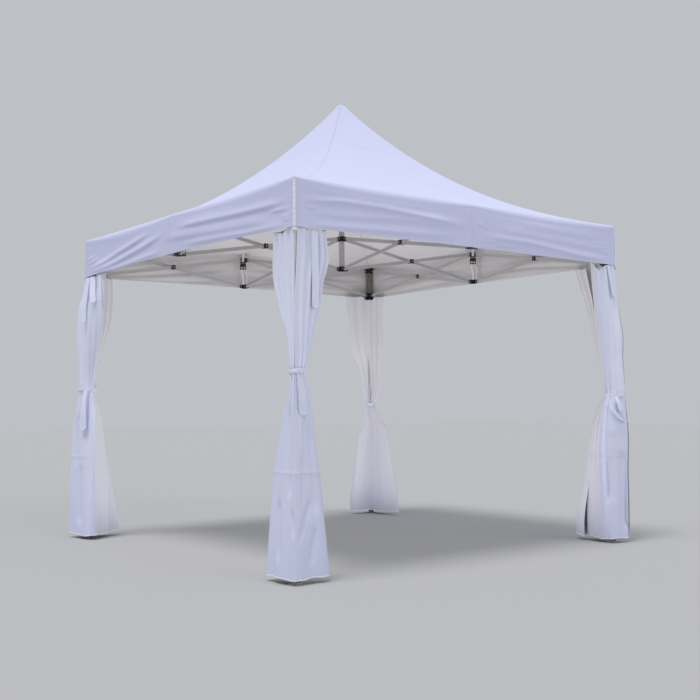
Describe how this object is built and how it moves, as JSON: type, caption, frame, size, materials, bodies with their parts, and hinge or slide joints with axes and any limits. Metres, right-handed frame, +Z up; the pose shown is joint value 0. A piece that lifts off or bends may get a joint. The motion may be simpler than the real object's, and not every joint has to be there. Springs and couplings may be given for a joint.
{
  "type": "folding party tent with leg curtains",
  "caption": "Square folding party tent: swooping white canopy with valance, scissor frame on telescopic legs, a tied curtain round each leg.",
  "frame": {"origin": "on the ground at the middle of the four feet", "axes": "+Z up; the front side faces -Y and the right side +X; the pictured corner is front left, at -X -Y"},
  "size_m": [3, 3, 3.4647],
  "materials": {
    "frame_metal": "light grey satin powder coat on rectangular steel tube",
    "black_plastic": "moulded black nylon, fine matt grain",
    "canopy_cloth": "coated white polyester with a faint lavender cast, fine plain weave",
    "curtain_cloth": "light white polyester curtain cloth, cream towards the inside"
  },
  "bodies": {
    "top_hub": {"top_hub": "black_plastic"},
    "lower_hub": {"lower_hub": "black_plastic", "mast": "frame_metal"},
    "hub_falling_bar_to_front": {"hub_falling_bar_to_front": "frame_metal"},
    "hub_rising_bar_to_front": {"hub_rising_bar_to_front": "frame_metal"},
    "upper_bracket_front": {"upper_bracket_front": "black_plastic"},
    "lower_bracket_front": {"lower_bracket_front": "black_plastic"},
    "canopy_front": {"canopy_front": "canopy_cloth"},
    "hub_falling_bar_to_right": {"hub_falling_bar_to_right": "frame_metal"},
    "hub_rising_bar_to_right": {"hub_rising_bar_to_right": "frame_metal"},
    "upper_bracket_right": {"upper_bracket_right": "black_plastic"},
    "lower_bracket_right": {"lower_bracket_right": "black_plastic"},
    "canopy_right": {"canopy_right": "canopy_cloth"},
    "hub_falling_bar_to_back": {"hub_falling_bar_to_back": "frame_metal"},
    "hub_rising_bar_to_back": {"hub_rising_bar_to_back": "frame_metal"},
    "upper_bracket_back": {"upper_bracket_back": "black_plastic"},
    "lower_bracket_back": {"lower_bracket_back": "black_plastic"},
    "canopy_back": {"canopy_back": "canopy_cloth"},
    "hub_falling_bar_to_left": {"hub_falling_bar_to_left": "frame_metal"},
    "hub_rising_bar_to_left": {"hub_rising_bar_to_left": "frame_metal"},
    "upper_bracket_left": {"upper_bracket_left": "black_plastic"},
    "lower_bracket_left": {"lower_bracket_left": "black_plastic"},
    "canopy_left": {"canopy_left": "canopy_cloth"},
    "front_falling_bar_to_front_right": {"front_falling_bar_to_front_right": "frame_metal"},
    "front_rising_bar_to_front_right": {"front_rising_bar_to_front_right": "frame_metal"},
    "leg_front_right": {"corner_bracket_front_right": "black_plastic", "leg_upper_front_right": "frame_metal", "curtain_front_right": "curtain_cloth"},
    "slider_front_right": {"slider_front_right": "black_plastic"},
    "lower_leg_front_right": {"leg_lower_front_right": "frame_metal"},
    "front_falling_bar_to_front_left": {"front_falling_bar_to_front_left": "frame_metal"},
    "front_rising_bar_to_front_left": {"front_rising_bar_to_front_left": "frame_metal"},
    "right_falling_bar_to_back_right": {"right_falling_bar_to_back_right": "frame_metal"},
    "right_rising_bar_to_back_right": {"right_rising_bar_to_back_right": "frame_metal"},
    "leg_back_right": {"corner_bracket_back_right": "black_plastic", "leg_upper_back_right": "frame_metal", "curtain_back_right": "curtain_cloth"},
    "slider_back_right": {"slider_back_right": "black_plastic"},
    "lower_leg_back_right": {"leg_lower_back_right": "frame_metal"},
    "right_falling_bar_to_front_right": {"right_falling_bar_to_front_right": "frame_metal"},
    "right_rising_bar_to_front_right": {"right_rising_bar_to_front_right": "frame_metal"},
    "back_falling_bar_to_back_left": {"back_falling_bar_to_back_left": "frame_metal"},
    "back_rising_bar_to_back_left": {"back_rising_bar_to_back_left": "frame_metal"},
    "leg_back_left": {"corner_bracket_back_left": "black_plastic", "leg_upper_back_left": "frame_metal", "curtain_back_left": "curtain_cloth"},
    "slider_back_left": {"slider_back_left": "black_plastic"},
    "lower_leg_back_left": {"leg_lower_back_left": "frame_metal"},
    "back_falling_bar_to_back_right": {"back_falling_bar_to_back_right": "frame_metal"},
    "back_rising_bar_to_back_right": {"back_rising_bar_to_back_right": "frame_metal"},
    "left_falling_bar_to_front_left": {"left_falling_bar_to_front_left": "frame_metal"},
    "left_rising_bar_to_front_left": {"left_rising_bar_to_front_left": "frame_metal"},
    "leg_front_left": {"corner_bracket_front_left": "black_plastic", "leg_upper_front_left": "frame_metal", "curtain_front_left": "curtain_cloth"},
    "slider_front_left": {"slider_front_left": "black_plastic"},
    "lower_leg_front_left": {"leg_lower_front_left": "frame_metal"},
    "left_falling_bar_to_back_left": {"left_falling_bar_to_back_left": "frame_metal"},
    "left_rising_bar_to_back_left": {"left_rising_bar_to_back_left": "frame_metal"}
  },
  "joints": [
    {"name": "frame_fold", "type": "hinge", "parent": "top_hub", "child": "hub_falling_bar_to_front", "pos_m": [0, -0.036, 2.368], "axis": [1, 0, 0], "range_deg": [0, 75], "deforming": ["canopy_front", "canopy_right", "canopy_back", "canopy_left", "curtain_front_right", "curtain_back_right", "curtain_back_left", "curtain_front_left"]},
    {"name": "hub_cross_front", "type": "hinge", "parent": "hub_falling_bar_to_front", "child": "hub_rising_bar_to_front", "pos_m": [0, -0.7265, 2.248], "axis": [1, 0, 0], "range_deg": [-150, 0]},
    {"name": "upper_bracket_turn_front", "type": "hinge", "parent": "hub_rising_bar_to_front", "child": "upper_bracket_front", "pos_m": [0, -1.417, 2.368], "axis": [1, 0, 0], "range_deg": [0, 75]},
    {"name": "lower_bracket_turn_front", "type": "hinge", "parent": "hub_falling_bar_to_front", "child": "lower_bracket_front", "pos_m": [0, -1.417, 2.128], "axis": [1, 0, 0], "range_deg": [-75, 0]},
    {"name": "lower_hub_turn", "type": "hinge", "parent": "hub_rising_bar_to_front", "child": "lower_hub", "pos_m": [0, -0.036, 2.128], "axis": [1, 0, 0], "range_deg": [0, 75]},
    {"name": "canopy_drape_front", "type": "hinge", "parent": "upper_bracket_front", "child": "canopy_front", "pos_m": [0, -1.5, 2.41], "axis": [-1, 0, 0], "range_deg": [0, 125]},
    {"name": "hub_falling_right", "type": "hinge", "parent": "top_hub", "child": "hub_falling_bar_to_right", "pos_m": [0.036, 0, 2.368], "axis": [0, 1, 0], "range_deg": [0, 75]},
    {"name": "hub_cross_right", "type": "hinge", "parent": "hub_falling_bar_to_right", "child": "hub_rising_bar_to_right", "pos_m": [0.7265, 0, 2.248], "axis": [0, 1, 0], "range_deg": [-150, 0]},
    {"name": "upper_bracket_turn_right", "type": "hinge", "parent": "hub_rising_bar_to_right", "child": "upper_bracket_right", "pos_m": [1.417, 0, 2.368], "axis": [0, 1, 0], "range_deg": [0, 75]},
    {"name": "lower_bracket_turn_right", "type": "hinge", "parent": "hub_falling_bar_to_right", "child": "lower_bracket_right", "pos_m": [1.417, 0, 2.128], "axis": [0, 1, 0], "range_deg": [-75, 0]},
    {"name": "canopy_drape_right", "type": "hinge", "parent": "upper_bracket_right", "child": "canopy_right", "pos_m": [1.5, 0, 2.41], "axis": [0, -1, 0], "range_deg": [0, 125]},
    {"name": "hub_falling_back", "type": "hinge", "parent": "top_hub", "child": "hub_falling_bar_to_back", "pos_m": [0, 0.036, 2.368], "axis": [-1, 0, 0], "range_deg": [0, 75]},
    {"name": "hub_cross_back", "type": "hinge", "parent": "hub_falling_bar_to_back", "child": "hub_rising_bar_to_back", "pos_m": [0, 0.7265, 2.248], "axis": [-1, 0, 0], "range_deg": [-150, 0]},
    {"name": "upper_bracket_turn_back", "type": "hinge", "parent": "hub_rising_bar_to_back", "child": "upper_bracket_back", "pos_m": [0, 1.417, 2.368], "axis": [-1, 0, 0], "range_deg": [0, 75]},
    {"name": "lower_bracket_turn_back", "type": "hinge", "parent": "hub_falling_bar_to_back", "child": "lower_bracket_back", "pos_m": [0, 1.417, 2.128], "axis": [-1, 0, 0], "range_deg": [-75, 0]},
    {"name": "canopy_drape_back", "type": "hinge", "parent": "upper_bracket_back", "child": "canopy_back", "pos_m": [0, 1.5, 2.41], "axis": [1, 0, 0], "range_deg": [0, 125]},
    {"name": "hub_falling_left", "type": "hinge", "parent": "top_hub", "child": "hub_falling_bar_to_left", "pos_m": [-0.036, 0, 2.368], "axis": [0, -1, 0], "range_deg": [0, 75]},
    {"name": "hub_cross_left", "type": "hinge", "parent": "hub_falling_bar_to_left", "child": "hub_rising_bar_to_left", "pos_m": [-0.7265, 0, 2.248], "axis": [0, -1, 0], "range_deg": [-150, 0]},
    {"name": "upper_bracket_turn_left", "type": "hinge", "parent": "hub_rising_bar_to_left", "child": "upper_bracket_left", "pos_m": [-1.417, 0, 2.368], "axis": [0, -1, 0], "range_deg": [0, 75]},
    {"name": "lower_bracket_turn_left", "type": "hinge", "parent": "hub_falling_bar_to_left", "child": "lower_bracket_left", "pos_m": [-1.417, 0, 2.128], "axis": [0, -1, 0], "range_deg": [-75, 0]},
    {"name": "canopy_drape_left", "type": "hinge", "parent": "upper_bracket_left", "child": "canopy_left", "pos_m": [-1.5, 0, 2.41], "axis": [0, 1, 0], "range_deg": [0, 125]},
    {"name": "front_falling_to_front_right", "type": "hinge", "parent": "upper_bracket_front", "child": "front_falling_bar_to_front_right", "pos_m": [0.032, -1.455, 2.368], "axis": [0, 1, 0], "range_deg": [0, 75]},
    {"name": "front_cross_to_front_right", "type": "hinge", "parent": "front_falling_bar_to_front_right", "child": "front_rising_bar_to_front_right", "pos_m": [0.7225, -1.455, 2.248], "axis": [0, 1, 0], "range_deg": [-150, 0]},
    {"name": "leg_turn_front_right", "type": "hinge", "parent": "front_rising_bar_to_front_right", "child": "leg_front_right", "pos_m": [1.413, -1.455, 2.368], "axis": [0, 1, 0], "range_deg": [0, 75]},
    {"name": "slider_turn_front_right", "type": "hinge", "parent": "front_falling_bar_to_front_right", "child": "slider_front_right", "pos_m": [1.413, -1.455, 2.128], "axis": [0, 1, 0], "range_deg": [-75, 0]},
    {"name": "front_falling_to_front_left", "type": "hinge", "parent": "upper_bracket_front", "child": "front_falling_bar_to_front_left", "pos_m": [-0.032, -1.455, 2.368], "axis": [0, -1, 0], "range_deg": [0, 75]},
    {"name": "front_cross_to_front_left", "type": "hinge", "parent": "front_falling_bar_to_front_left", "child": "front_rising_bar_to_front_left", "pos_m": [-0.7225, -1.455, 2.248], "axis": [0, -1, 0], "range_deg": [-150, 0]},
    {"name": "right_falling_to_back_right", "type": "hinge", "parent": "upper_bracket_right", "child": "right_falling_bar_to_back_right", "pos_m": [1.455, 0.032, 2.368], "axis": [-1, 0, 0], "range_deg": [0, 75]},
    {"name": "right_cross_to_back_right", "type": "hinge", "parent": "right_falling_bar_to_back_right", "child": "right_rising_bar_to_back_right", "pos_m": [1.455, 0.7225, 2.248], "axis": [-1, 0, 0], "range_deg": [-150, 0]},
    {"name": "leg_turn_back_right", "type": "hinge", "parent": "right_rising_bar_to_back_right", "child": "leg_back_right", "pos_m": [1.455, 1.413, 2.368], "axis": [-1, 0, 0], "range_deg": [0, 75]},
    {"name": "slider_turn_back_right", "type": "hinge", "parent": "right_falling_bar_to_back_right", "child": "slider_back_right", "pos_m": [1.455, 1.413, 2.128], "axis": [-1, 0, 0], "range_deg": [-75, 0]},
    {"name": "right_falling_to_front_right", "type": "hinge", "parent": "upper_bracket_right", "child": "right_falling_bar_to_front_right", "pos_m": [1.455, -0.032, 2.368], "axis": [1, 0, 0], "range_deg": [0, 75]},
    {"name": "right_cross_to_front_right", "type": "hinge", "parent": "right_falling_bar_to_front_right", "child": "right_rising_bar_to_front_right", "pos_m": [1.455, -0.7225, 2.248], "axis": [1, 0, 0], "range_deg": [-150, 0]},
    {"name": "back_falling_to_back_left", "type": "hinge", "parent": "upper_bracket_back", "child": "back_falling_bar_to_back_left", "pos_m": [-0.032, 1.455, 2.368], "axis": [0, -1, 0], "range_deg": [0, 75]},
    {"name": "back_cross_to_back_left", "type": "hinge", "parent": "back_falling_bar_to_back_left", "child": "back_rising_bar_to_back_left", "pos_m": [-0.7225, 1.455, 2.248], "axis": [0, -1, 0], "range_deg": [-150, 0]},
    {"name": "leg_turn_back_left", "type": "hinge", "parent": "back_rising_bar_to_back_left", "child": "leg_back_left", "pos_m": [-1.413, 1.455, 2.368], "axis": [0, -1, 0], "range_deg": [0, 75]},
    {"name": "slider_turn_back_left", "type": "hinge", "parent": "back_falling_bar_to_back_left", "child": "slider_back_left", "pos_m": [-1.413, 1.455, 2.128], "axis": [0, -1, 0], "range_deg": [-75, 0]},
    {"name": "back_falling_to_back_right", "type": "hinge", "parent": "upper_bracket_back", "child": "back_falling_bar_to_back_right", "pos_m": [0.032, 1.455, 2.368], "axis": [0, 1, 0], "range_deg": [0, 75]},
    {"name": "back_cross_to_back_right", "type": "hinge", "parent": "back_falling_bar_to_back_right", "child": "back_rising_bar_to_back_right", "pos_m": [0.7225, 1.455, 2.248], "axis": [0, 1, 0], "range_deg": [-150, 0]},
    {"name": "left_falling_to_front_left", "type": "hinge", "parent": "upper_bracket_left", "child": "left_falling_bar_to_front_left", "pos_m": [-1.455, -0.032, 2.368], "axis": [1, 0, 0], "range_deg": [0, 75]},
    {"name": "left_cross_to_front_left", "type": "hinge", "parent": "left_falling_bar_to_front_left", "child": "left_rising_bar_to_front_left", "pos_m": [-1.455, -0.7225, 2.248], "axis": [1, 0, 0], "range_deg": [-150, 0]},
    {"name": "leg_turn_front_left", "type": "hinge", "parent": "left_rising_bar_to_front_left", "child": "leg_front_left", "pos_m": [-1.455, -1.413, 2.368], "axis": [1, 0, 0], "range_deg": [0, 75]},
    {"name": "slider_turn_front_left", "type": "hinge", "parent": "left_falling_bar_to_front_left", "child": "slider_front_left", "pos_m": [-1.455, -1.413, 2.128], "axis": [1, 0, 0], "range_deg": [-75, 0]},
    {"name": "left_falling_to_back_left", "type": "hinge", "parent": "upper_bracket_left", "child": "left_falling_bar_to_back_left", "pos_m": [-1.455, 0.032, 2.368], "axis": [-1, 0, 0], "range_deg": [0, 75]},
    {"name": "left_cross_to_back_left", "type": "hinge", "parent": "left_falling_bar_to_back_left", "child": "left_rising_bar_to_back_left", "pos_m": [-1.455, 0.7225, 2.248], "axis": [-1, 0, 0], "range_deg": [-150, 0]},
    {"name": "leg_slide_front_right", "type": "slide", "parent": "leg_front_right", "child": "lower_leg_front_right", "axis": [0, 0, 1], "range_m": [0, 0.8], "deforming": ["curtain_front_right"]},
    {"name": "leg_slide_back_right", "type": "slide", "parent": "leg_back_right", "child": "lower_leg_back_right", "axis": [0, 0, 1], "range_m": [0, 0.8], "deforming": ["curtain_back_right"]},
    {"name": "leg_slide_back_left", "type": "slide", "parent": "leg_back_left", "child": "lower_leg_back_left", "axis": [0, 0, 1], "range_m": [0, 0.8], "deforming": ["curtain_back_left"]},
    {"name": "leg_slide_front_left", "type": "slide", "parent": "leg_front_left", "child": "lower_leg_front_left", "axis": [0, 0, 1], "range_m": [0, 0.8], "deforming": ["curtain_front_left"]}
  ],
  "couplings": [
    {"joint": "hub_cross_front", "follows": "frame_fold", "ratio": -2},
    {"joint": "upper_bracket_turn_front", "follows": "frame_fold", "ratio": 1},
    {"joint": "lower_bracket_turn_front", "follows": "frame_fold", "ratio": -1},
    {"joint": "lower_hub_turn", "follows": "frame_fold", "ratio": 1},
    {"joint": "canopy_drape_front", "follows": "frame_fold", "ratio": 1.6667},
    {"joint": "hub_falling_right", "follows": "frame_fold", "ratio": 1},
    {"joint": "hub_cross_right", "follows": "frame_fold", "ratio": -2},
    {"joint": "upper_bracket_turn_right", "follows": "frame_fold", "ratio": 1},
    {"joint": "lower_bracket_turn_right", "follows": "frame_fold", "ratio": -1},
    {"joint": "canopy_drape_right", "follows": "frame_fold", "ratio": 1.6667},
    {"joint": "hub_falling_back", "follows": "frame_fold", "ratio": 1},
    {"joint": "hub_cross_back", "follows": "frame_fold", "ratio": -2},
    {"joint": "upper_bracket_turn_back", "follows": "frame_fold", "ratio": 1},
    {"joint": "lower_bracket_turn_back", "follows": "frame_fold", "ratio": -1},
    {"joint": "canopy_drape_back", "follows": "frame_fold", "ratio": 1.6667},
    {"joint": "hub_falling_left", "follows": "frame_fold", "ratio": 1},
    {"joint": "hub_cross_left", "follows": "frame_fold", "ratio": -2},
    {"joint": "upper_bracket_turn_left", "follows": "frame_fold", "ratio": 1},
    {"joint": "lower_bracket_turn_left", "follows": "frame_fold", "ratio": -1},
    {"joint": "canopy_drape_left", "follows": "frame_fold", "ratio": 1.6667},
    {"joint": "front_falling_to_front_right", "follows": "frame_fold", "ratio": 1},
    {"joint": "front_cross_to_front_right", "follows": "frame_fold", "ratio": -2},
    {"joint": "leg_turn_front_right", "follows": "frame_fold", "ratio": 1},
    {"joint": "slider_turn_front_right", "follows": "frame_fold", "ratio": -1},
    {"joint": "front_falling_to_front_left", "follows": "frame_fold", "ratio": 1},
    {"joint": "front_cross_to_front_left", "follows": "frame_fold", "ratio": -2},
    {"joint": "right_falling_to_back_right", "follows": "frame_fold", "ratio": 1},
    {"joint": "right_cross_to_back_right", "follows": "frame_fold", "ratio": -2},
    {"joint": "leg_turn_back_right", "follows": "frame_fold", "ratio": 1},
    {"joint": "slider_turn_back_right", "follows": "frame_fold", "ratio": -1},
    {"joint": "right_falling_to_front_right", "follows": "frame_fold", "ratio": 1},
    {"joint": "right_cross_to_front_right", "follows": "frame_fold", "ratio": -2},
    {"joint": "back_falling_to_back_left", "follows": "frame_fold", "ratio": 1},
    {"joint": "back_cross_to_back_left", "follows": "frame_fold", "ratio": -2},
    {"joint": "leg_turn_back_left", "follows": "frame_fold", "ratio": 1},
    {"joint": "slider_turn_back_left", "follows": "frame_fold", "ratio": -1},
    {"joint": "back_falling_to_back_right", "follows": "frame_fold", "ratio": 1},
    {"joint": "back_cross_to_back_right", "follows": "frame_fold", "ratio": -2},
    {"joint": "left_falling_to_front_left", "follows": "frame_fold", "ratio": 1},
    {"joint": "left_cross_to_front_left", "follows": "frame_fold", "ratio": -2},
    {"joint": "leg_turn_front_left", "follows": "frame_fold", "ratio": 1},
    {"joint": "slider_turn_front_left", "follows": "frame_fold", "ratio": -1},
    {"joint": "left_falling_to_back_left", "follows": "frame_fold", "ratio": 1},
    {"joint": "left_cross_to_back_left", "follows": "frame_fold", "ratio": -2}
  ]
}
